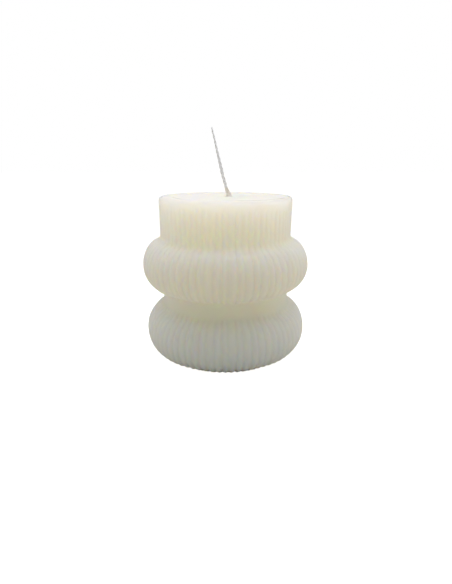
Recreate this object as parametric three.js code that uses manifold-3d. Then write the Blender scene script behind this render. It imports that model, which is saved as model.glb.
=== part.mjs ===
// A ribbed pillar candle: one cast wax body with two bulging rings under a straight drum, the
// second pour that levels its top, a plaited cotton wick, the bead of wax at the wick's root, and
// the tinplate sustainer that anchors the wick in the base. Millimetres, +Z up, with the origin at
// the middle of the base.
import * as THREE from "three";
import { mergeVertices } from "three/addons/utils/BufferGeometryUtils.js";
import Module from "manifold-3d";

// Driving dimensions of the body's outline, over the crests of its ribs.
const DRUM_RADIUS = 31.4;
const NECK_RADIUS = 30.8;
const UPPER_RING_RADIUS = 40;
const LOWER_RING_RADIUS = 39.3;
const FOOT_HEIGHT = 1;
const RING_HEIGHT = 22;
const RING_CROWN = 0.8;
const NECK_HEIGHT = 10;
const DRUM_HEIGHT = 21;
const RIM_WIDTH = 1.6;
const RIM_ROUNDING = 2.2;
const RIM_BAND_HEIGHT = 6;

// Each ring leaves its ellipse this far round, and curves along the wall for the length given.
const SHOULDER_ANGLE = 1.28;
const DRUM_FILLET = 2;
const NECK_FILLET = 3;
const UNDERCUT_FILLET = 0.8;

// Ribs: the body's mesh has one column of points on each crest and one in each groove.
const RIB_COUNT = 72;
const RIB_DEPTH = 0.7;
const FOOT_RIB_DEPTH = 0.6;
const RIM_RIB_DEPTH = 0.15;

// The second pour, which fills the dish and the well that the first left as it shrank.
const FILL_RECESS = 0.25;
const FILL_EDGE_DEPTH = 1.2;
const WELL_DEPTH = 9;
const WELL_RADIUS = 3.5;
const WELL_FLARE = 3;
const WELL_SHOULDER_DROP = 1;

// The wick, the bead on its root, and the pressed sheet with a crimped neck that holds its foot.
const WICK_RADIUS = 0.75;
const WICK_SIDES = 8;
const WICK_STEPS = 36;
const BEAD_FOOT_RADIUS = 1.3;
const BEAD_TOP_RADIUS = 1.15;
const BEAD_HEIGHT = 3.4;
const BEAD_LEAN = -0.28;
const SUSTAINER_RADIUS = 10;
const SUSTAINER_THICKNESS = 0.3;
const SUSTAINER_RECESS = 0.4;
const CRIMP_RADIUS = 1.7;
const CRIMP_FLARE = 0.5;
const CRIMP_BORE_RADIUS = 1.05;
const CRIMP_TOP = 7;

// Bonded faces are kept this far apart, so that no two solids share a face.
const SEAM = 0.3;
const WICK_GAP = 0.15;

// How far a cutting shape runs on past the face that it cuts through.
const OVERSHOOT = 2;

// Segments in a quarter of a ring's outline, and around the turned pieces inside the candle.
const ARC_STEPS = 4;
const FILLET_STEPS = 2;
const ROUND_STEPS = 36;
const SMALL_ROUND_STEPS = 20;

// Worked out from the dimensions above.
const halfRing = RING_HEIGHT / 2;
const lowerRingCentre = FOOT_HEIGHT + halfRing;
const upperRingCentre = lowerRingCentre + RING_HEIGHT + NECK_HEIGHT;
const bodyTop = upperRingCentre + halfRing + DRUM_HEIGHT;
const fillRadius = DRUM_RADIUS - RIM_WIDTH;
const fillTop = bodyTop - FILL_RECESS;
const sheetTop = SUSTAINER_RECESS + SUSTAINER_THICKNESS;

// The wick's route: up the sustainer's neck, through the wax a little off centre, and out of the
// top, where it leans to one side and stands by its own waxed stiffness.
const WICK_EXIT = [1.5, 0, fillTop];
const WICK_ROUTE = [
  [0, 0, 0.6],
  [0, 0, 4],
  [0, 0, 9],
  [0.2, 0, 24],
  [0.7, 0, 42],
  [1.25, 0, 60],
  [1.5, 0, 72],
  WICK_EXIT,
  [1, 0, 77.7],
  [0.3, 0, 80],
  [-1.25, 0, 85.3],
  [-2.5, 0, 90.7],
  [-3.8, 0, 96],
  [-4.95, 0, 101.2],
  [-6.3, 0, 106.6],
];

const wasm = await Module();
wasm.setup();

// Turns a closed three.js geometry into a manifold-3d solid, for cutting.
function toSolid(geometry) {
  const bare = geometry.clone();
  bare.deleteAttribute("normal");
  bare.deleteAttribute("uv");
  const merged = mergeVertices(bare, 1e-4);
  return new wasm.Manifold(
    new wasm.Mesh({
      numProp: 3,
      vertProperties: new Float32Array(merged.attributes.position.array),
      triVerts: new Uint32Array(merged.index.array),
    }),
  );
}

function toGeometry(solid) {
  const mesh = solid.getMesh();
  const geometry = new THREE.BufferGeometry();
  geometry.setAttribute("position", new THREE.BufferAttribute(mesh.vertProperties, 3));
  geometry.setIndex(new THREE.BufferAttribute(mesh.triVerts, 1));
  return geometry.toNonIndexed();
}

// A solid of revolution about Z. Its [radius, height] points run up the outside, axis to axis.
function lathe(points, steps) {
  const profile = points.map(([radius, height]) => new THREE.Vector2(radius, height));
  return new THREE.LatheGeometry(profile, steps).rotateX(Math.PI / 2);
}

function turned(points, steps = ROUND_STEPS) {
  return toSolid(lathe(points, steps));
}

function curvePoints(curve, steps) {
  return curve.getPoints(steps).map((point) => [point.x, point.y]);
}

// A tube along the wick's route.
function wickTube(radius) {
  const section = new THREE.Shape();
  section.absarc(0, 0, radius, 0, 2 * Math.PI);
  const route = new THREE.CatmullRomCurve3(WICK_ROUTE.map((point) => new THREE.Vector3(...point)));
  return new THREE.ExtrudeGeometry(section, {
    steps: WICK_STEPS,
    curveSegments: WICK_SIDES / 2,
    extrudePath: route,
  });
}

// Half of a ring's outline, from its widest point to the wall above it or, where the half height
// is negative, to the wall below it.
function ringHalf(wall, reach, centre, halfHeight, filletLength) {
  const crest = new THREE.EllipseCurve(wall, centre, reach, halfHeight, 0, SHOULDER_ANGLE);
  const shoulder = crest.getPoint(1);
  const rise = (halfHeight * Math.cos(SHOULDER_ANGLE) ** 2) / Math.sin(SHOULDER_ANGLE);
  const corner = shoulder.y + rise;
  const fillet = new THREE.QuadraticBezierCurve(
    shoulder,
    new THREE.Vector2(wall, corner),
    new THREE.Vector2(wall, corner + Math.sign(halfHeight) * filletLength),
  );
  return [...curvePoints(crest, ARC_STEPS), ...curvePoints(fillet, FILLET_STEPS).slice(1)];
}

// The body's outline at one depth below the crests. Every depth has the same number of points.
function bodyOutline(depth, footDepth, rimDepth) {
  const drum = DRUM_RADIUS - depth;
  const neck = NECK_RADIUS - depth;
  const lowerReach = LOWER_RING_RADIUS - NECK_RADIUS;
  const upperReach = UPPER_RING_RADIUS - NECK_RADIUS;
  const below = halfRing - depth;
  const above = below + RING_CROWN;
  const lowerUnderside = new THREE.EllipseCurve(
    drum,
    lowerRingCentre,
    LOWER_RING_RADIUS - DRUM_RADIUS,
    below,
    -Math.PI / 2,
    0,
  );
  const rim = new THREE.EllipseCurve(
    fillRadius - rimDepth,
    bodyTop - RIM_ROUNDING,
    RIM_WIDTH,
    RIM_ROUNDING,
    0,
    Math.PI / 2,
  );
  return [
    [0, 0],
    [DRUM_RADIUS - footDepth, 0],
    ...curvePoints(lowerUnderside, ARC_STEPS),
    ...ringHalf(neck, lowerReach, lowerRingCentre, above, NECK_FILLET).slice(1),
    ...ringHalf(neck, upperReach, upperRingCentre, -below, UNDERCUT_FILLET).reverse(),
    ...ringHalf(drum, UPPER_RING_RADIUS - DRUM_RADIUS, upperRingCentre, above, DRUM_FILLET).slice(1),
    [drum, bodyTop - RIM_BAND_HEIGHT],
    ...curvePoints(rim, ARC_STEPS / 2),
    [0, bodyTop],
  ];
}

// The body before it is cut: a lathe whose every other column of points lies in a groove.
function ribbedBlank() {
  const crest = bodyOutline(0, 0, 0);
  const groove = bodyOutline(RIB_DEPTH, FOOT_RIB_DEPTH, RIM_RIB_DEPTH);
  const columns = 2 * RIB_COUNT;
  const blank = lathe(crest, columns);
  for (let column = 1; column < columns; column += 2) {
    const turn = (2 * Math.PI * column) / columns;
    groove.forEach(([radius, height], row) => {
      const point = [radius * Math.sin(turn), -radius * Math.cos(turn), height];
      blank.attributes.position.setXYZ(column * crest.length + row, ...point);
    });
  }
  return toSolid(blank);
}

// The dish and well in the first pour or, with an inset, the second pour that fills them.
function wellOutline(inset, top) {
  const edgeFloor = bodyTop - FILL_EDGE_DEPTH + inset;
  const wellFloor = bodyTop - WELL_DEPTH + inset;
  const slope = new THREE.QuadraticBezierCurve(
    new THREE.Vector2(WELL_RADIUS - inset, wellFloor),
    new THREE.Vector2(WELL_RADIUS + WELL_FLARE, edgeFloor - WELL_SHOULDER_DROP),
    new THREE.Vector2(fillRadius - inset, edgeFloor),
  );
  return [
    [0, wellFloor],
    ...curvePoints(slope, ARC_STEPS),
    [fillRadius - inset, top],
    [0, top],
  ];
}

// The sustainer's outline from its underside up, grown by a gap where it is the seat cut for it.
function sustainerOutline(gap, bottom) {
  const crimp = CRIMP_RADIUS + gap;
  return [
    [0, bottom],
    [SUSTAINER_RADIUS + gap, bottom],
    [SUSTAINER_RADIUS + gap, sheetTop + gap],
    [crimp + CRIMP_FLARE, sheetTop + gap],
    [crimp, sheetTop + CRIMP_FLARE + gap],
    [crimp, CRIMP_TOP + gap],
    [0, CRIMP_TOP + gap],
  ];
}

const channel = toSolid(wickTube(WICK_RADIUS + WICK_GAP));

function waxBody() {
  const well = turned(wellOutline(0, bodyTop + OVERSHOOT));
  const seat = turned(sustainerOutline(SEAM, -OVERSHOOT));
  return toGeometry(ribbedBlank().subtract(well).subtract(seat).subtract(channel));
}

function topFill() {
  return toGeometry(turned(wellOutline(SEAM, fillTop)).subtract(channel));
}

// The bead leans with the wick, and its foot is cut level where it meets the second pour.
function wickBead() {
  const leaning = lathe(
    [
      [0, -OVERSHOOT],
      [BEAD_FOOT_RADIUS, -OVERSHOOT],
      [BEAD_FOOT_RADIUS, BEAD_HEIGHT / 2],
      [BEAD_TOP_RADIUS, BEAD_HEIGHT],
      [0, BEAD_HEIGHT],
    ],
    SMALL_ROUND_STEPS,
  );
  leaning.rotateY(BEAD_LEAN).translate(...WICK_EXIT);
  const belowHeight = 2 * OVERSHOOT;
  const below = new THREE.BoxGeometry(2 * BEAD_HEIGHT, 2 * BEAD_HEIGHT, belowHeight);
  below.translate(WICK_EXIT[0], WICK_EXIT[1], fillTop + SEAM - belowHeight / 2);
  return toGeometry(toSolid(leaning).subtract(toSolid(below)).subtract(channel));
}

function wickSustainer() {
  const bore = new THREE.CylinderGeometry(
    CRIMP_BORE_RADIUS,
    CRIMP_BORE_RADIUS,
    2 * (CRIMP_TOP + OVERSHOOT),
    SMALL_ROUND_STEPS,
  );
  bore.rotateX(Math.PI / 2);
  return toGeometry(turned(sustainerOutline(0, SUSTAINER_RECESS)).subtract(toSolid(bore)));
}

const wax = new THREE.MeshStandardMaterial({ color: 0xe9e4d4, roughness: 0.45, metalness: 0 });
const pouredWax = new THREE.MeshStandardMaterial({ color: 0xf1ecda, roughness: 0.4, metalness: 0 });
const cotton = new THREE.MeshStandardMaterial({ color: 0xdad8cf, roughness: 0.85, metalness: 0 });
const tinplate = new THREE.MeshStandardMaterial({ color: 0xb9bbbd, roughness: 0.3, metalness: 1 });

function piece(name, geometry, material) {
  const mesh = new THREE.Mesh(geometry, material);
  mesh.name = name;
  return mesh;
}

const candle = new THREE.Group();
candle.add(piece("wax_body", waxBody(), wax));
candle.add(piece("top_fill", topFill(), pouredWax));
candle.add(piece("wick_bead", wickBead(), pouredWax));
candle.add(piece("wick", wickTube(WICK_RADIUS), cotton));
candle.add(piece("wick_sustainer", wickSustainer(), tinplate));

export default candle;
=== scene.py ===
"""A ribbed two-ring pillar candle: wax body, second pour, plaited wick, bead and sustainer."""

import bpy
import numpy as np
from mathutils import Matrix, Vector


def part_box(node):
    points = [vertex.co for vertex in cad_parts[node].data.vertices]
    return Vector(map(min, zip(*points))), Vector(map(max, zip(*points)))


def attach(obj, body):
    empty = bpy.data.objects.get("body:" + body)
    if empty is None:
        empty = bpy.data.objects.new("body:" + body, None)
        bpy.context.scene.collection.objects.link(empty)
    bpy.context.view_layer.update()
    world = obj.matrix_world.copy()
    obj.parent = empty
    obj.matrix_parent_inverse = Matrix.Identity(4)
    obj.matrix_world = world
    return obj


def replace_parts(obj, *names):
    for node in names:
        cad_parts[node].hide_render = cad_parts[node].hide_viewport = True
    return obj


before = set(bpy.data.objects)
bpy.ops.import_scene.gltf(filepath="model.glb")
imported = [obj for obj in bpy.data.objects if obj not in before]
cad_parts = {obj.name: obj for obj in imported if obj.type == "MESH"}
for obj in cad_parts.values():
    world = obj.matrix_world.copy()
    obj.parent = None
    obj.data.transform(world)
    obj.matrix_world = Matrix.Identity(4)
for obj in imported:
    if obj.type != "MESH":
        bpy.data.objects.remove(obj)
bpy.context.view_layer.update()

# ---------------------------------------------------------------- sizes, from the frame

body_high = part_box("wax_body")[1]
fill_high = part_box("top_fill")[1]
tin_low, tin_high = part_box("wick_sustainer")

# The body's tiers from the foot up, in millimetres, as the CAD model stacks them.
FOOT = 1.0
RING = 22.0
NECK = 10.0
DRUM = 21.0
MM = body_high.z / (FOOT + 2 * RING + NECK + DRUM)

RING_RADIUS = body_high.x
LOWER_RING_RADIUS = 39.3 * MM
DRUM_RADIUS = 31.4 * MM
NECK_RADIUS = 30.8 * MM
HALF_RING = RING / 2 * MM
# A ring is this much taller above its widest line than below it.
RING_CROWN = 0.8 * MM
LOWER_RING_Z = FOOT * MM + HALF_RING
UPPER_RING_Z = LOWER_RING_Z + (RING + NECK) * MM
BODY_TOP = body_high.z
FILL_TOP = fill_high.z
# The CAD model keeps the body this far from the second pour and the sustainer.
CAD_GAP = 0.3 * MM
DISH_RADIUS = fill_high.x + CAD_GAP

RIB_COUNT = 72
RIB_DEPTH = 0.7 * MM
COLUMNS_PER_RIB = 6
COLUMNS = RIB_COUNT * COLUMNS_PER_RIB

SEED = 7
rng = np.random.default_rng(SEED)

# The wick's route through the candle in millimetres, as the CAD model lays it.
WICK_ROUTE = [
    (0.0, 0.0, 0.6),
    (0.0, 0.0, 4.0),
    (0.0, 0.0, 9.0),
    (0.2, 0.0, 24.0),
    (0.7, 0.0, 42.0),
    (1.25, 0.0, 60.0),
    (1.5, 0.0, 72.0),
    (1.5, 0.0, 75.75),
    (1.0, 0.0, 77.7),
    (0.3, 0.0, 80.0),
    (-1.25, 0.0, 85.3),
    (-2.5, 0.0, 90.7),
    (-3.8, 0.0, 96.0),
    (-4.95, 0.0, 101.2),
    (-6.3, 0.0, 106.6),
]
STRANDS = 3
STRAND_RADIUS = 0.38 * MM
PLAIT_HALF_WIDTH = 0.44 * MM
PLAIT_HALF_DEPTH = 0.12 * MM
PLAIT_PITCH = 7.0 * MM
STRAND_SIDES = 10
WICK_SAMPLES = 600


# ---------------------------------------------------------------- camera

CAMERA_LENS = 23.68
CAMERA_SHIFT_X = 0.0009
CAMERA_SHIFT_Y = -0.0312
CAMERA_DISTANCE = 2.32 * 2 * RING_RADIUS
CAMERA_HEIGHT = 1.17 * BODY_TOP
CAMERA_PITCH = 15.47


def add_camera():
    """A viewpoint close by, a little above the top, that looks down by the pitch in degrees."""
    data = bpy.data.cameras.new("camera")
    data.sensor_width = 36.0
    data.lens = CAMERA_LENS
    data.shift_x = CAMERA_SHIFT_X
    data.shift_y = CAMERA_SHIFT_Y
    data.clip_start = 0.01
    camera = bpy.data.objects.new("camera", data)
    camera.location = (0.0, -CAMERA_DISTANCE, CAMERA_HEIGHT)
    camera.rotation_euler = (np.radians(90.0 - CAMERA_PITCH), 0.0, 0.0)
    bpy.context.scene.collection.objects.link(camera)
    bpy.context.scene.camera = camera


add_camera()


# ---------------------------------------------------------------- mesh helpers

def smooth(t):
    """A soft step: 0 up to t = 0, 1 from t = 1, and an S curve between."""
    t = np.clip(t, 0.0, 1.0)
    return t * t * (3.0 - 2.0 * t)


def route_points(samples):
    """The wick's centreline: evenly spaced points on a smooth curve, and how far along each is."""
    knots = np.array(WICK_ROUTE) * MM
    ends = np.vstack([2 * knots[0] - knots[1], knots, 2 * knots[-1] - knots[-2]])
    fine = []
    for a, b, c, d in zip(ends[:-3], ends[1:-2], ends[2:-1], ends[3:]):
        t = np.linspace(0.0, 1.0, 40, endpoint=False)[:, None]
        fine.append(
            0.5 * (2 * b + (c - a) * t + (2 * a - 5 * b + 4 * c - d) * t**2
                   + (3 * b - a - 3 * c + d) * t**3)
        )
    fine = np.vstack([*fine, knots[-1:]])
    along = np.concatenate([[0.0], np.cumsum(np.linalg.norm(np.diff(fine, axis=0), axis=1))])
    even = np.linspace(0.0, along[-1], samples)
    return np.column_stack([np.interp(even, along, fine[:, k]) for k in range(3)]), even


WICK_LINE, WICK_ALONG = route_points(WICK_SAMPLES)


def wick_x(height):
    """How far the wick's centreline lies from the axis at a height."""
    return np.interp(height, WICK_LINE[:, 2], WICK_LINE[:, 0])


def ring_mesh(name, grid, material):
    """A closed piece from a grid of points, rows by columns, which wraps round both ways."""
    rows, columns = grid.shape[:2]
    row = np.arange(rows)[:, None]
    column = np.arange(columns)[None, :]
    next_row = (row + 1) % rows
    next_column = (column + 1) % columns
    corners = [
        row * columns + column,
        row * columns + next_column,
        next_row * columns + next_column,
        next_row * columns + column,
    ]
    faces = np.stack(np.broadcast_arrays(*corners), axis=-1).reshape(-1, 4)
    mesh = bpy.data.meshes.new(name)
    mesh.from_pydata(grid.reshape(-1, 3).tolist(), [], faces.tolist())
    mesh.shade_smooth()
    mesh.materials.append(material)
    piece = bpy.data.objects.new(name, mesh)
    bpy.context.scene.collection.objects.link(piece)
    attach(piece, "root")
    return piece


def arc(centre, radii, start, end, steps):
    """Points of an elliptical arc in the [radius, height] plane, angles in degrees."""
    angle = np.radians(np.linspace(start, end, steps))
    return np.column_stack([
        centre[0] + radii[0] * np.cos(angle),
        centre[1] + radii[1] * np.sin(angle),
    ])


def straight(start, end, steps):
    """Points from start up to, but without, end."""
    t = np.linspace(0.0, 1.0, steps, endpoint=False)[:, None]
    return np.array(start) * (1 - t) + np.array(end) * t


def full_turn(columns):
    """The angle of each column of a mesh that goes once round, as a row."""
    return (np.arange(columns) * 2 * np.pi / columns)[None, :]


def outward(profile):
    """The unit normals of a closed [radius, height] outline that runs up its outside."""
    along = np.roll(profile, -1, axis=0) - np.roll(profile, 1, axis=0)
    normal = np.column_stack([along[:, 1], -along[:, 0]])
    return normal / np.maximum(np.linalg.norm(normal, axis=1, keepdims=True), 1e-12)


# ---------------------------------------------------------------- wax body

# The recess in the base that holds the sustainer, and the channel that holds the wick.
SEAT_RADIUS = tin_high.x + CAD_GAP
SEAT_TOP = tin_low.z + 0.6 * MM
SEAT_INNER_RADIUS = 2.5 * MM
NECK_HOLE_RADIUS = 2.0 * MM
CHANNEL_RADIUS = 1.0 * MM
CHANNEL_FLOOR = tin_high.z + CAD_GAP

# The drum flares by the lip between two heights, and its rim rounds over to a small inner edge.
RIM_WIDTH = DRUM_RADIUS - DISH_RADIUS
RIM_ROUNDING = 2.2 * MM
RIM_EDGE = 0.25 * MM
LIP = 0.1 * MM
FLARE_START = BODY_TOP - 7.0 * MM
FLARE_END = BODY_TOP - 4.0 * MM

DISH_WALL_TOP = BODY_TOP - 0.3 * MM
DISH_DEPTH = 1.2 * MM
WELL_BEND_DROP = 1.0 * MM
WELL_BEND_WIDTH = 3.0 * MM
WELL_DEPTH = 9.0 * MM
WELL_RADIUS = 3.5 * MM

FOOT_EDGE = 0.5 * MM
FOOT_BAND_RADIUS = DRUM_RADIUS - 3.0 * MM
# Points up to this height lie on the flat foot, where the ribs only scallop its edge.
FOOT_LEVEL = 0.2 * MM
# A straight wall starts this far past the curve before it.
WALL_START = 0.5 * MM

# Each rib ends at its own height below the rim, and is cut to its own depth.
RIB_TOP = BODY_TOP - 4.6 * MM
RIB_TOP_SPREAD = 0.9 * MM
RIB_FADE = 3.2 * MM
RIB_STRENGTH_SPREAD = 0.16
RIB_SOFTNESS = 0.06

# The ribs' depth as a share of RIB_DEPTH: the level on the rings, how much lower it is on the drum,
# and the share of it that is lost in the neck.
RING_RIB_LEVEL = 1.25
DRUM_RIB_DROP = 0.6
NECK_RIB_LOSS = 0.65

# The casting isn't quite true. Its sides waver, and its lower ring and the underside of its upper
# ring tilt by about half a degree.
UNEVENNESS = 0.09 * MM
UNEVEN_WAVES = 14
RING_TILT = 0.008


def ring_half(wall, reach, centre_z, half_height, shoulder, fillet):
    """Half a ring's outline, from its widest point to the wall above it (or below it, where the
    half height is negative). It leaves its ellipse at the shoulder angle and curves into the wall."""
    crest = arc((wall, centre_z), (reach, half_height), 0.0, shoulder, 22)
    angle = np.radians(shoulder)
    start = crest[-1]
    corner = np.array([wall, start[1] + half_height * np.cos(angle) ** 2 / np.sin(angle)])
    end = corner + (0.0, np.sign(half_height) * fillet)
    t = np.linspace(0.0, 1.0, 10)[1:, None]
    curve = start * (1 - t) ** 2 + 2 * corner * t * (1 - t) + end * t**2
    return np.vstack([crest, curve])


def well_floor(inset):
    """The floor between the two pours, from the rim inwards: nearly level, then a crater round the
    wick, which the first pour left as it shrank. The inset moves it into the second pour."""
    start = np.array([DISH_RADIUS - inset, BODY_TOP - DISH_DEPTH + inset])
    bend = np.array([
        WELL_RADIUS + WELL_BEND_WIDTH,
        BODY_TOP - DISH_DEPTH - WELL_BEND_DROP + inset,
    ])
    end = np.array([WELL_RADIUS - inset, BODY_TOP - WELL_DEPTH + inset])
    t = np.linspace(0.0, 1.0, 18)[:, None]
    return start * (1 - t) ** 2 + 2 * bend * t * (1 - t) + end * t**2


def body_profile():
    """The closed outline over the crests, from the seat in the base round to the wick's channel."""
    above = HALF_RING + RING_CROWN
    lower_underside = arc(
        (DRUM_RADIUS - FOOT_EDGE, LOWER_RING_Z),
        (LOWER_RING_RADIUS - DRUM_RADIUS + FOOT_EDGE, HALF_RING),
        -86.0, -3.0, 22,
    )
    lower_shoulder = ring_half(
        NECK_RADIUS, LOWER_RING_RADIUS - NECK_RADIUS, LOWER_RING_Z, above,
        shoulder=72.0, fillet=3.2 * MM,
    )
    upper_underside = ring_half(
        NECK_RADIUS, RING_RADIUS - NECK_RADIUS, UPPER_RING_Z, -HALF_RING,
        shoulder=80.0, fillet=1.0 * MM,
    )[::-1]
    upper_shoulder = ring_half(
        DRUM_RADIUS, RING_RADIUS - DRUM_RADIUS, UPPER_RING_Z, above,
        shoulder=75.0, fillet=1.9 * MM,
    )[1:]
    rim = arc(
        (DISH_RADIUS + RIM_EDGE, BODY_TOP - RIM_ROUNDING),
        (RIM_WIDTH - RIM_EDGE + LIP, RIM_ROUNDING),
        0.0, 90.0, 12,
    )
    inner_edge = arc(
        (DISH_RADIUS + RIM_EDGE, BODY_TOP - RIM_EDGE),
        (RIM_EDGE, RIM_EDGE),
        108.0, 180.0, 5,
    )
    pieces = [
        straight((SEAT_RADIUS, 0.0), (FOOT_BAND_RADIUS, 0.0), 6),
        straight((FOOT_BAND_RADIUS, 0.0), (DRUM_RADIUS - FOOT_EDGE, 0.0), 4),
        arc((DRUM_RADIUS - FOOT_EDGE, FOOT_EDGE), (FOOT_EDGE, FOOT_EDGE), -90.0, 0.0, 4),
        lower_underside,
        lower_shoulder,
        straight(lower_shoulder[-1] + (0.0, WALL_START), upper_underside[0], 8),
        upper_underside,
        upper_shoulder,
        straight(upper_shoulder[-1] + (0.0, WALL_START), (DRUM_RADIUS, FLARE_START), 8),
        straight((DRUM_RADIUS, FLARE_START), (DRUM_RADIUS + LIP, FLARE_END), 8),
        straight((DRUM_RADIUS + LIP, FLARE_END), (DRUM_RADIUS + LIP, BODY_TOP - RIM_ROUNDING), 5),
        rim,
        inner_edge,
        straight((DISH_RADIUS, DISH_WALL_TOP), (DISH_RADIUS, BODY_TOP - DISH_DEPTH), 4),
        well_floor(0.0),
        straight((CHANNEL_RADIUS, BODY_TOP - WELL_DEPTH), (CHANNEL_RADIUS, CHANNEL_FLOOR), 12),
        straight((NECK_HOLE_RADIUS, CHANNEL_FLOOR), (NECK_HOLE_RADIUS, SEAT_TOP), 4),
        straight((SEAT_INNER_RADIUS, SEAT_TOP), (SEAT_RADIUS, SEAT_TOP), 4),
        straight((SEAT_RADIUS, SEAT_TOP), (SEAT_RADIUS, 0.0), 3),
    ]
    return np.vstack(pieces)


def rib_shape(phase):
    """About 0 on a crest and 1 at the bottom of a groove: round crests, and narrower soft grooves."""
    across = np.cos(np.pi * phase)
    depth = (1.0 - np.sqrt(across**2 + RIB_SOFTNESS)) / (1.0 - np.sqrt(RIB_SOFTNESS))
    return depth + RIB_SOFTNESS / 2


def rib_level(height):
    """How deep the ribs are at a height: deepest on the rings, shallow on the drum and in the neck."""
    on_drum = smooth((height - UPPER_RING_Z - 0.75 * HALF_RING) / (3.0 * MM))
    neck_z = (LOWER_RING_Z + UPPER_RING_Z) / 2
    in_neck = np.exp(-(((height - neck_z + 1.0 * MM) / (5.5 * MM)) ** 2))
    return (RING_RIB_LEVEL - DRUM_RIB_DROP * on_drum) * (1.0 - NECK_RIB_LOSS * in_neck)


def waver(turn, height, size, waves):
    """A smooth random unevenness round and up the body, of about the size given."""
    total = np.zeros(np.broadcast(turn, height).shape)
    for _ in range(waves):
        around = rng.integers(1, 14)
        up = rng.uniform(-260.0, 260.0)
        start = rng.uniform(0.0, 2 * np.pi)
        total += np.sin(around * turn + up * height + start)
    return total * size / np.sqrt(waves)


def make_body(material):
    """The first pour: its outline swept round, with ribs in its outside. The "groove" attribute
    says how deep in a groove each point is, for the material to paint shade into the grooves by."""
    profile = body_profile()
    normal = outward(profile)
    radius = profile[:, 0][:, None]
    height = profile[:, 1][:, None]
    turn = full_turn(COLUMNS)
    phase = np.arange(COLUMNS)[None, :] / COLUMNS_PER_RIB

    on_foot = height <= FOOT_LEVEL
    outside = smooth((radius - DISH_RADIUS - 1.2 * MM) / (0.5 * MM)) * ~on_foot
    foot_edge = smooth((radius - FOOT_BAND_RADIUS) / (2.4 * MM)) * on_foot
    rib_top = RIB_TOP + rng.normal(0.0, RIB_TOP_SPREAD, RIB_COUNT)
    rib_top = np.roll(np.repeat(rib_top, COLUMNS_PER_RIB), COLUMNS_PER_RIB // 2)[None, :]
    fade = smooth((rib_top - height) / RIB_FADE + 0.5)
    strength = 1.0 + RIB_STRENGTH_SPREAD * rng.standard_normal(RIB_COUNT)
    strength = np.roll(np.repeat(strength, COLUMNS_PER_RIB), COLUMNS_PER_RIB // 2)[None, :]
    depth = RIB_DEPTH * rib_level(height) * rib_shape(phase) * strength
    depth = depth * (outside * fade + foot_edge)
    uneven = waver(turn, height, UNEVENNESS, UNEVEN_WAVES) * outside
    push = uneven - depth
    push_z = np.where(on_foot, 0.0, push * normal[:, 1][:, None])

    far = radius + push * np.where(on_foot, 1.0, normal[:, 0][:, None])
    in_channel = (radius < 1.2 * MM) & (height < BODY_TOP)
    on_rings = smooth((radius - DRUM_RADIUS) / (3.0 * MM)) * smooth((UPPER_RING_Z - height) / (6.0 * MM))
    tilt = RING_TILT * far * np.cos(turn) * on_rings
    centre_x = np.where(in_channel, wick_x(profile[:, 1])[:, None], 0.0)
    grid = np.stack(
        [
            centre_x + far * np.cos(turn),
            far * np.sin(turn),
            height + push_z + tilt,
        ],
        axis=-1,
    )
    body = ring_mesh("candle_body", grid, material)
    groove = body.data.attributes.new("groove", "FLOAT", "POINT")
    groove.data.foreach_set("value", np.clip(depth / RIB_DEPTH, 0.0, 1.0).ravel())
    return body


# ---------------------------------------------------------------- materials

# Red light spreads furthest in the wax, and blue light least.
WAX_SPREAD = (1.0, 0.7, 0.36)
WAX_IOR = 1.44

# The second pour set in an oval, off centre, and a thin dark line along the front of it is painted
# shadow of the gap at its joint with the rim.
# The line's place, width and waviness are fractions of the oval's reach.
SEAM_CENTRE = (2.2 * MM, 0.0, 0.0)
SEAM_REACH = (27.0 * MM, 28.5 * MM)
SEAM_LINE = 1.015
SEAM_WIDTH = 0.03
SEAM_WAVINESS = 0.03
SEAM_SHADOW_COLOUR = (0.2, 0.19, 0.16)

# Painted shade in the ribs' grooves: it darkens the wax's colour by how deep in a groove a point lies,
# and hardly at all on the crests.
GROOVE_PAINTED_SHADE = (0.95, 0.95, 0.95)


def principled(name):
    """A new material with its nodes, its links and its Principled shader."""
    material = bpy.data.materials.new(name)
    material.use_nodes = True
    nodes = material.node_tree.nodes
    return material, nodes, material.node_tree.links, nodes["Principled BSDF"]


def noise(nodes, links, coordinates, scale, detail, roughness=0.5):
    """The output of a noise texture, from 0 to 1."""
    node = nodes.new("ShaderNodeTexNoise")
    node.inputs["Scale"].default_value = scale
    node.inputs["Detail"].default_value = detail
    node.inputs["Roughness"].default_value = roughness
    links.new(coordinates, node.inputs["Vector"])
    return node.outputs["Fac"]


def ramp(nodes, links, factor, stops):
    """The output of a colour ramp with the (position, colour) stops given."""
    node = nodes.new("ShaderNodeValToRGB")
    elements = node.color_ramp.elements
    while len(elements) < len(stops):
        elements.new(0.5)
    for element, (position, colour) in zip(elements, stops):
        element.position = position
        element.color = (*colour, 1.0)
    links.new(factor, node.inputs["Fac"])
    return node.outputs["Color"]


def grey(level):
    """A grey of the level given, for a value in a ramp."""
    return (level, level, level)


def bump(nodes, links, height, distance, strength, under=None):
    """The output of a bump node, on top of another one's where that is given."""
    node = nodes.new("ShaderNodeBump")
    node.inputs["Distance"].default_value = distance
    node.inputs["Strength"].default_value = strength
    links.new(height, node.inputs["Height"])
    if under is not None:
        links.new(under, node.inputs["Normal"])
    return node.outputs["Normal"]


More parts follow.
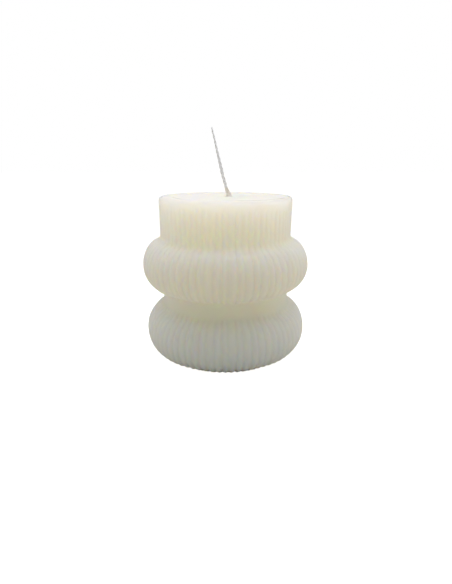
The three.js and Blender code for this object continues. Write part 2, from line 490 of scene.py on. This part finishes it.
def wax_material(name, pale, deep, roughness, depth):
    """Translucent paraffin wax: cloudy colour with painted shade in the ribs' grooves, a satin skin with
    faint bloom, and fine ripples.
    The depth is how far light spreads in it, in metres, before the wax absorbs most of it."""
    material, nodes, links, shader = principled(name)
    place = nodes.new("ShaderNodeTexCoord").outputs["Object"]
    cloud = noise(nodes, links, place, 60.0, 3.0)
    # Painted shade: the colour is darkened in the ribs' grooves, by how deep each point lies in one.
    groove = nodes.new("ShaderNodeAttribute")
    groove.attribute_name = "groove"
    groove_shade = nodes.new("ShaderNodeMixRGB")
    groove_shade.blend_type = "MULTIPLY"
    groove_shade.inputs["Color2"].default_value = (*GROOVE_PAINTED_SHADE, 1.0)
    links.new(groove.outputs["Fac"], groove_shade.inputs["Fac"])
    links.new(ramp(nodes, links, cloud, [(0.35, deep), (0.65, pale)]), groove_shade.inputs["Color1"])
    links.new(groove_shade.outputs["Color"], shader.inputs["Base Color"])
    bloom = noise(nodes, links, place, 240.0, 4.0, 0.6)
    links.new(
        ramp(nodes, links, bloom, [(0.3, grey(roughness - 0.07)), (0.7, grey(roughness + 0.09))]),
        shader.inputs["Roughness"],
    )
    shader.inputs["Subsurface Weight"].default_value = 1.0
    shader.inputs["Subsurface Radius"].default_value = WAX_SPREAD
    shader.inputs["Subsurface Scale"].default_value = depth
    shader.inputs["IOR"].default_value = WAX_IOR
    ripple = bump(nodes, links, noise(nodes, links, place, 160.0, 2.0), 0.0003, 0.25)
    grain = bump(nodes, links, noise(nodes, links, place, 2200.0, 3.0, 0.6), 0.00004, 0.35, ripple)
    links.new(grain, shader.inputs["Normal"])
    return material


def math_node(nodes, links, operation, first, second):
    """A math node, for two values that are each a number or another node's output."""
    node = nodes.new("ShaderNodeMath")
    node.operation = operation
    for socket, value in zip(node.inputs, (first, second)):
        if isinstance(value, float):
            socket.default_value = value
        else:
            links.new(value, socket)
    return node


def paint_seam_shadow(material):
    """Paints the shadow in the joint where the second pour set, as a dark line on the front half: it
    comes and goes, and fades towards the sides.
    """
    nodes = material.node_tree.nodes
    links = material.node_tree.links
    shader = nodes["Principled BSDF"]
    place = nodes.new("ShaderNodeTexCoord").outputs["Object"]
    centred = nodes.new("ShaderNodeVectorMath")
    centred.operation = "SUBTRACT"
    centred.inputs[1].default_value = SEAM_CENTRE
    links.new(place, centred.inputs[0])
    oval = nodes.new("ShaderNodeVectorMath")
    oval.operation = "MULTIPLY"
    oval.inputs[1].default_value = (1.0 / SEAM_REACH[0], 1.0 / SEAM_REACH[1], 0.0)
    links.new(centred.outputs["Vector"], oval.inputs[0])
    distance = nodes.new("ShaderNodeVectorMath")
    distance.operation = "LENGTH"
    links.new(oval.outputs["Vector"], distance.inputs[0])
    waviness = math_node(nodes, links, "MULTIPLY", noise(nodes, links, place, 120.0, 2.0), SEAM_WAVINESS)
    wavy = math_node(nodes, links, "ADD", distance.outputs["Value"], waviness.outputs[0])
    line = math_node(nodes, links, "COMPARE", wavy.outputs[0], SEAM_LINE)
    line.inputs[2].default_value = SEAM_WIDTH / 2
    split = nodes.new("ShaderNodeSeparateXYZ")
    links.new(oval.outputs["Vector"], split.inputs[0])
    front = math_node(nodes, links, "MULTIPLY", split.outputs["Y"], -1.0)
    front.use_clamp = True
    cloud = noise(nodes, links, place, 75.0, 3.0)
    patches = ramp(nodes, links, cloud, [(0.36, grey(0.25)), (0.56, grey(1.0))])
    drawn = math_node(nodes, links, "MULTIPLY", line.outputs[0], front.outputs[0])
    painted_seam_shadow = math_node(nodes, links, "MULTIPLY", drawn.outputs[0], patches)
    # Painted shadow: the dark seam colour is mixed into the wax's colour along the line.
    mix = nodes.new("ShaderNodeMixRGB")
    mix.inputs["Color2"].default_value = (*SEAM_SHADOW_COLOUR, 1.0)
    links.new(shader.inputs["Base Color"].links[0].from_socket, mix.inputs["Color1"])
    links.new(painted_seam_shadow.outputs[0], mix.inputs["Fac"])
    links.new(mix.outputs["Color"], shader.inputs["Base Color"])


def drip_material():
    """The bead's wax, too thin to glow: a cloudy beige drip that shows the waxed cotton under it."""
    material, nodes, links, shader = principled("drip_wax")
    place = nodes.new("ShaderNodeTexCoord").outputs["Object"]
    cloud = noise(nodes, links, place, 700.0, 3.0)
    colours = [(0.35, (0.64, 0.61, 0.54)), (0.65, (0.82, 0.79, 0.73))]
    links.new(ramp(nodes, links, cloud, colours), shader.inputs["Base Color"])
    shader.inputs["Roughness"].default_value = 0.36
    shader.inputs["IOR"].default_value = WAX_IOR
    lumps = bump(nodes, links, noise(nodes, links, place, 1500.0, 2.0), 0.00006, 0.4)
    links.new(lumps, shader.inputs["Normal"])
    return material


def cotton_material():
    """Waxed cotton: pale yarn with a twisted grain along each strand."""
    material, nodes, links, shader = principled("wick_cotton")
    place = nodes.new("ShaderNodeTexCoord").outputs["Object"]
    along = nodes.new("ShaderNodeUVMap")
    along.uv_map = "strand"
    twist = nodes.new("ShaderNodeTexWave")
    twist.wave_type = "BANDS"
    twist.bands_direction = "DIAGONAL"
    twist.inputs["Scale"].default_value = 0.35
    twist.inputs["Distortion"].default_value = 1.5
    links.new(along.outputs["UV"], twist.inputs["Vector"])
    colours = [(0.2, (0.76, 0.78, 0.82)), (0.8, (0.86, 0.88, 0.92))]
    links.new(ramp(nodes, links, twist.outputs["Fac"], colours), shader.inputs["Base Color"])
    waxed = noise(nodes, links, place, 900.0, 2.0)
    sheen = ramp(nodes, links, waxed, [(0.3, grey(0.5)), (0.7, grey(0.8))])
    links.new(sheen, shader.inputs["Roughness"])
    yarn = bump(nodes, links, twist.outputs["Fac"], 0.00003, 0.5)
    fuzz = bump(nodes, links, noise(nodes, links, place, 9000.0, 2.0), 0.00002, 0.4, yarn)
    links.new(fuzz, shader.inputs["Normal"])
    shader.inputs["Specular IOR Level"].default_value = 0.35
    return material


def tin_material():
    """Bright pressed tinplate with fine scuffs."""
    material, nodes, links, shader = principled("tinplate")
    place = nodes.new("ShaderNodeTexCoord").outputs["Object"]
    shader.inputs["Metallic"].default_value = 1.0
    mottle = noise(nodes, links, place, 350.0, 3.0)
    colours = [(0.3, (0.62, 0.63, 0.65)), (0.7, (0.74, 0.75, 0.76))]
    links.new(ramp(nodes, links, mottle, colours), shader.inputs["Base Color"])
    scuffs = noise(nodes, links, place, 1400.0, 4.0, 0.65)
    worn = ramp(nodes, links, scuffs, [(0.35, grey(0.22)), (0.7, grey(0.42))])
    links.new(worn, shader.inputs["Roughness"])
    links.new(bump(nodes, links, scuffs, 0.00003, 0.3), shader.inputs["Normal"])
    return material


# ---------------------------------------------------------------- second pour

SEAM_GAP = 0.1 * MM
FILL_HOLE_RADIUS = 0.9 * MM
FILL_ROUNDING = 0.45 * MM
FILL_COLUMNS = 480

# How far the level top rises at the rim and at the wick, sinks round the wick, and swells between,
# and how far its joint with the rim opens.
MENISCUS = 0.22 * MM
WICK_MENISCUS = 0.35 * MM
FILL_DIP = 0.25 * MM
FILL_SWELL = 0.05 * MM
JOINT_OPENING = 0.2 * MM


def make_fill(material):
    """The second pour: level, a little sunken round the wick, and curved up where it wets the rim."""
    edge = DISH_RADIUS - SEAM_GAP
    underside = well_floor(SEAM_GAP)[::-1]
    rounding = FILL_ROUNDING
    top_edge = arc((edge - rounding, FILL_TOP - rounding), (rounding, rounding), 0.0, 80.0, 7)
    # The rows of the top lie closest together near the edge.
    across = 1.0 - np.linspace(0.0, 1.0, 40) ** 1.4
    level_width = edge - 1.3 * rounding - FILL_HOLE_RADIUS - 0.2 * MM
    level = FILL_HOLE_RADIUS + 0.2 * MM + across * level_width
    top = np.column_stack([level, np.full(level.shape, FILL_TOP)])
    profile = np.vstack([
        underside,
        straight((edge, FILL_TOP - 1.25 * rounding), (edge, FILL_TOP - 1.05 * rounding), 2),
        top_edge,
        top,
        straight((FILL_HOLE_RADIUS, FILL_TOP - 0.3 * MM), (FILL_HOLE_RADIUS, underside[0][1]), 12),
    ])
    turn = full_turn(FILL_COLUMNS)
    radius = profile[:, 0][:, None]
    height = profile[:, 1][:, None]
    is_top = height > FILL_TOP - 1.2 * rounding
    reach = radius / edge
    meniscus = MENISCUS * smooth((reach - 0.86) / 0.11)
    dip = -FILL_DIP * np.exp(-((radius / (11.0 * MM)) ** 2))
    wet = WICK_MENISCUS * np.exp(-(((radius - FILL_HOLE_RADIUS) / (0.9 * MM)) ** 2))
    x = radius * np.cos(turn)
    y = radius * np.sin(turn)
    waves = np.sin(150.0 * x + 1.0) * np.cos(190.0 * y) + 0.6 * np.sin(330.0 * x - 260.0 * y)
    swell = FILL_SWELL * waves
    # The joint with the rim opens a little here and there.
    opening = 0.5 + 0.5 * np.sin(3 * turn + 2.2) * np.sin(7 * turn + 0.4)
    seam = -JOINT_OPENING * opening * smooth((reach - 0.98) / 0.02)
    lift = (meniscus + dip + wet + swell + seam) * is_top
    centre = wick_x(profile[:, 1])[:, None] * (1.0 - smooth((radius - FILL_HOLE_RADIUS) / (14.0 * MM)))
    squeeze = 1.0 - 0.004 * opening * (reach > 0.9)
    grid = np.stack([centre + x * squeeze, y * squeeze, height + lift], axis=-1)
    pour = ring_mesh("second_pour", grid, material)
    # The pours are bonded wax, so light passes from one into the other as if there were no gap.
    pour.visible_shadow = False
    pour.visible_diffuse = False
    return pour


# ---------------------------------------------------------------- bead on the wick's root

# Millimetres above the bead's base, and the bead's radius in millimetres at each of those heights.
BEAD_HEIGHTS = [-0.1, 0.05, 0.3, 0.7, 1.2, 1.8, 2.4, 2.9, 3.3, 3.7, 4.0]
BEAD_RADII = [2.1, 1.62, 1.32, 1.2, 1.19, 1.17, 1.1, 1.0, 0.88, 0.76, 0.66]
BEAD_INNER_RADIUS = 0.5 * MM
BEAD_ROWS = 40
BEAD_COLUMNS = 56


def make_bead(material):
    """A drip of wax that climbs the wick's root and has set there, fatter on one side."""
    heights = np.array(BEAD_HEIGHTS) * MM
    radii = np.array(BEAD_RADII) * MM
    inner = BEAD_INNER_RADIUS
    base = FILL_TOP + SEAM_GAP
    rows = [(inner, heights[0]), *zip(radii, heights), (inner, heights[-1] - 0.1 * MM)]
    fine = np.linspace(0.0, len(rows) - 1.0, BEAD_ROWS)
    profile = np.column_stack([
        np.interp(fine, np.arange(len(rows)), [row[k] for row in rows]) for k in (0, 1)
    ])
    turn = full_turn(BEAD_COLUMNS)
    radius = profile[:, 0][:, None]
    height = profile[:, 1][:, None]
    sag = np.exp(-(((height - 1.3 * MM) / (1.0 * MM)) ** 2))
    lumps = 1.0 + sag * (0.14 * np.cos(turn - 0.2) + 0.05 * np.sin(3 * turn + 1.0))
    radius = np.where(radius > 1.05 * inner, radius * lumps, radius * np.ones_like(turn))
    centre = wick_x(base + profile[:, 1])[:, None]
    grid = np.stack(
        [centre + radius * np.cos(turn), radius * np.sin(turn), base + height + 0 * turn], axis=-1
    )
    return ring_mesh("wick_root_bead", grid, material)


# ---------------------------------------------------------------- plaited wick

# Along its free length the flat plait turns from its first angle, in radians, by the twist, and
# its strands get slimmer towards the tip.
PLAIT_ANGLE = 0.25
PLAIT_TWIST = 0.9
TWIST_START = 22.0 * MM
TWIST_LENGTH = 20.0 * MM
SLIM_LENGTH = 26.0 * MM
SLIMMING = 0.38

# A strand's ends are rounded over this many rows.
TIP_ROWS = 3
TIP_WIDTH = 0.25

# The yarn's coordinates run this far for each row along a strand, and once round it.
UV_PER_ROW = 0.35
UV_ROUND = 6.0


def side_and_front(path):
    """Unit vectors square to a path at each of its points, one to its side and one to its front."""
    step = np.gradient(path, axis=0)
    tangent = step / np.linalg.norm(step, axis=1, keepdims=True)
    side = np.cross([0.0, 1.0, 0.0], tangent)
    side /= np.linalg.norm(side, axis=1, keepdims=True)
    return side, np.cross(tangent, side)


def strand_path(strand):
    """One strand's centreline, and how slim it is along it. The strands cross over and under."""
    side, front = side_and_front(WICK_LINE)
    turn = 2 * np.pi * (WICK_ALONG / PLAIT_PITCH + strand / STRANDS)
    free = smooth((WICK_ALONG - WICK_ALONG[-1] + TWIST_START) / TWIST_LENGTH)
    twist = (PLAIT_ANGLE + PLAIT_TWIST * free)[:, None]
    slim = 1.0 - SLIMMING * smooth((WICK_ALONG - WICK_ALONG[-1] + SLIM_LENGTH) / SLIM_LENGTH)
    across = (PLAIT_HALF_WIDTH * slim * np.sin(turn))[:, None]
    deep = (PLAIT_HALF_DEPTH * slim * np.sin(2 * turn))[:, None]
    wide = side * np.cos(twist) + front * np.sin(twist)
    thick = front * np.cos(twist) - side * np.sin(twist)
    return WICK_LINE + wide * across + thick * deep, slim


def strand_tube(path, slim):
    """A tube with round ends along a path: its points and faces."""
    sides = STRAND_SIDES
    side, front = side_and_front(path)
    count = len(path)
    from_end = np.minimum(np.arange(count), np.arange(count)[::-1])
    taper = np.sqrt(np.clip(1.0 - (1.0 - from_end / TIP_ROWS) ** 2, 0.0, 1.0))
    taper = np.where(from_end >= TIP_ROWS, 1.0, np.maximum(taper, TIP_WIDTH))
    radius = (STRAND_RADIUS * slim * taper)[:, None, None]
    angle = 2 * np.pi * np.arange(sides) / sides
    to_side = np.cos(angle)[None, :, None] * side[:, None, :]
    to_front = np.sin(angle)[None, :, None] * front[:, None, :]
    points = path[:, None, :] + radius * (to_side + to_front)
    faces = []
    for k in range(count - 1):
        for j in range(sides):
            n = (j + 1) % sides
            faces.append((k * sides + j, k * sides + n, (k + 1) * sides + n, (k + 1) * sides + j))
    faces.append(tuple(range(sides))[::-1])
    faces.append(tuple((count - 1) * sides + j for j in range(sides)))
    return points.reshape(-1, 3), faces


def make_wick(material):
    """The plait: three strands in one mesh, with coordinates along and round each for the yarn."""
    points = []
    faces = []
    sides = STRAND_SIDES
    for strand in range(STRANDS):
        path, slim = strand_path(strand)
        new_points, new_faces = strand_tube(path, slim)
        start = sum(len(part) for part in points)
        points.append(new_points)
        faces += [tuple(start + corner for corner in face) for face in new_faces]
    mesh = bpy.data.meshes.new("plaited_wick")
    mesh.from_pydata(np.vstack(points).tolist(), [], faces)
    uv = mesh.uv_layers.new(name="strand")
    for face in mesh.polygons:
        for loop in face.loop_indices:
            index = mesh.loops[loop].vertex_index
            row = index // sides
            around = index % sides / sides
            if face.loop_total == 4 and index % sides == 0 and any(
                mesh.loops[other].vertex_index % sides == sides - 1 for other in face.loop_indices
            ):
                around = 1.0
            uv.data[loop].uv = (row * UV_PER_ROW, around * UV_ROUND)
    mesh.shade_smooth()
    mesh.materials.append(material)
    wick = bpy.data.objects.new("plaited_wick", mesh)
    bpy.context.scene.collection.objects.link(wick)
    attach(wick, "root")
    return wick


# ---------------------------------------------------------------- sustainer

TIN_SHEET = 0.3 * MM
TIN_NECK_RADIUS = 1.7 * MM
TIN_FLARE = 0.45 * MM
TIN_LIP = 0.15 * MM
TIN_RING_RADIUS = 7.6 * MM
TIN_RING_HEIGHT = 0.22 * MM
TIN_COLUMNS = 120


def make_sustainer(material):
    """Pressed tinplate: a disc with a raised ring, and a neck crimped flat on the wick."""
    low = tin_low.z
    sheet = TIN_SHEET
    rim = tin_high.x
    neck = TIN_NECK_RADIUS
    neck_top = tin_high.z
    under = straight((neck - sheet + 0.3 * MM, low), (rim - sheet / 2, low), 44)
    edge = arc((rim - sheet / 2, low + sheet / 2), (sheet / 2, sheet / 2), -90.0, 90.0, 7)
    over = straight((rim - sheet / 2, low + sheet), (neck + TIN_FLARE, low + sheet), 40)
    flare_centre = (neck + TIN_FLARE, low + sheet + TIN_FLARE)
    flare = arc(flare_centre, (TIN_FLARE, TIN_FLARE), 270.0, 180.0, 6)
    outside = straight((neck, low + sheet + 0.6 * MM), (neck, neck_top - TIN_LIP), 20)
    lip = arc((neck - sheet / 2, neck_top - TIN_LIP), (sheet / 2, TIN_LIP), 0.0, 180.0, 6)
    inside = straight((neck - sheet, neck_top - 0.3 * MM), (neck - sheet, low + 0.35 * MM), 20)
    profile = np.vstack([under, edge, over, flare, outside, lip, inside])
    turn = full_turn(TIN_COLUMNS)
    radius = profile[:, 0][:, None]
    height = profile[:, 1][:, None]
    ring = TIN_RING_HEIGHT * np.exp(-(((radius - TIN_RING_RADIUS) / (0.7 * MM)) ** 2))
    in_neck = (radius < neck + 0.05 * MM) * smooth((height - low - 1.2 * MM) / (1.2 * MM))
    crimp = in_neck * smooth((neck_top - 0.6 * MM - height) / (1.0 * MM))
    pinch = 1.0 - crimp * (0.16 - 0.14 * np.cos(2 * turn))
    x = radius * pinch * np.cos(turn)
    y = radius * pinch * np.sin(turn)
    grid = np.stack([x, y, height + ring + 0 * turn], axis=-1)
    return ring_mesh("tin_sustainer", grid, material)


# ---------------------------------------------------------------- the candle

ivory_wax = wax_material(
    "ivory_wax",
    pale=(0.94, 0.91, 0.815),
    deep=(0.935, 0.9, 0.795),
    roughness=0.45,
    depth=0.095,
)
poured_wax = wax_material(
    "poured_wax",
    pale=(0.965, 0.94, 0.83),
    deep=(0.955, 0.93, 0.81),
    roughness=0.38,
    depth=0.012,
)
paint_seam_shadow(poured_wax)

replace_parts(make_body(ivory_wax), "wax_body")
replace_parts(make_fill(poured_wax), "top_fill")
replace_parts(make_bead(drip_material()), "wick_bead")
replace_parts(make_wick(cotton_material()), "wick")
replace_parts(make_sustainer(tin_material()), "wick_sustainer")


# ---------------------------------------------------------------- stage and light

FLOOR_REACH = 6.0
FLOOR_COLOUR = (0.85, 0.83, 0.74)
FLOOR_ROUGHNESS = 0.9
FLOOR_GLOW = 0.9
ROOM_LIGHT = 0.303
ROOM_COLOUR = (1.0, 0.95, 0.8)
BOX_COLOUR = (1.0, 0.99, 1.06)

# Soft boxes: diameter and place in metres, and power in watts. Each one faces the candle's axis
# at the aim height.
AIM_HEIGHT = BODY_TOP * 0.85
SOFT_BOXES = [
    ("overhead", 0.25, (0.0, 0.0, 0.2), 0.24),
    ("right", 0.35, (0.32, 0.05, 0.16), 0.23),
    ("left", 0.35, (-0.32, 0.05, 0.16), 0.175),
]


def add_floor():
    """A plain pale floor that runs far past the candle. The glow that whitens it reaches only the
    camera, so the candle gets no more than the floor's own bounce."""
    mesh = bpy.data.meshes.new("floor")
    corners = [(-1, -1), (1, -1), (1, 1), (-1, 1)]
    points = [(x * FLOOR_REACH, y * FLOOR_REACH, 0.0) for x, y in corners]
    mesh.from_pydata(points, [], [(0, 1, 2, 3)])
    floor = bpy.data.objects.new("floor", mesh)
    bpy.context.scene.collection.objects.link(floor)
    material, nodes, links, shader = principled("pale_floor")
    shader.inputs["Base Color"].default_value = (*FLOOR_COLOUR, 1.0)
    shader.inputs["Roughness"].default_value = FLOOR_ROUGHNESS
    shader.inputs["Specular IOR Level"].default_value = 0.0
    shader.inputs["Emission Color"].default_value = (1.0, 1.0, 1.0, 1.0)
    is_camera_ray = nodes.new("ShaderNodeLightPath").outputs["Is Camera Ray"]
    glow = math_node(nodes, links, "MULTIPLY", is_camera_ray, FLOOR_GLOW)
    links.new(glow.outputs[0], shader.inputs["Emission Strength"])
    mesh.materials.append(material)


def add_soft_boxes():
    """Round soft boxes close to the candle: one overhead and one on each side."""
    middle = Vector((0.0, 0.0, AIM_HEIGHT))
    for name, size, place, power in SOFT_BOXES:
        data = bpy.data.lights.new(name, "AREA")
        data.shape = "DISK"
        data.size = size
        data.energy = power
        data.color = BOX_COLOUR
        light = bpy.data.objects.new(name, data)
        light.location = place
        light.rotation_euler = (middle - Vector(place)).to_track_quat("-Z", "Y").to_euler()
        light.visible_camera = False
        bpy.context.scene.collection.objects.link(light)


def add_world():
    """An even studio: a white backdrop to look at, which gives only part of its light."""
    world = bpy.data.worlds.new("studio")
    world.use_nodes = True
    nodes = world.node_tree.nodes
    links = world.node_tree.links
    fill = nodes["Background"]
    fill.inputs["Color"].default_value = (*ROOM_COLOUR, 1.0)
    fill.inputs["Strength"].default_value = ROOM_LIGHT
    backdrop = nodes.new("ShaderNodeBackground")
    backdrop.inputs["Color"].default_value = (1.0, 1.0, 1.0, 1.0)
    backdrop.inputs["Strength"].default_value = 1.0
    mix = nodes.new("ShaderNodeMixShader")
    links.new(nodes.new("ShaderNodeLightPath").outputs["Is Camera Ray"], mix.inputs[0])
    links.new(fill.outputs[0], mix.inputs[1])
    links.new(backdrop.outputs[0], mix.inputs[2])
    links.new(mix.outputs[0], nodes["World Output"].inputs["Surface"])
    bpy.context.scene.world = world


add_floor()
add_soft_boxes()
add_world()
bpy.context.scene.view_settings.view_transform = "Standard"
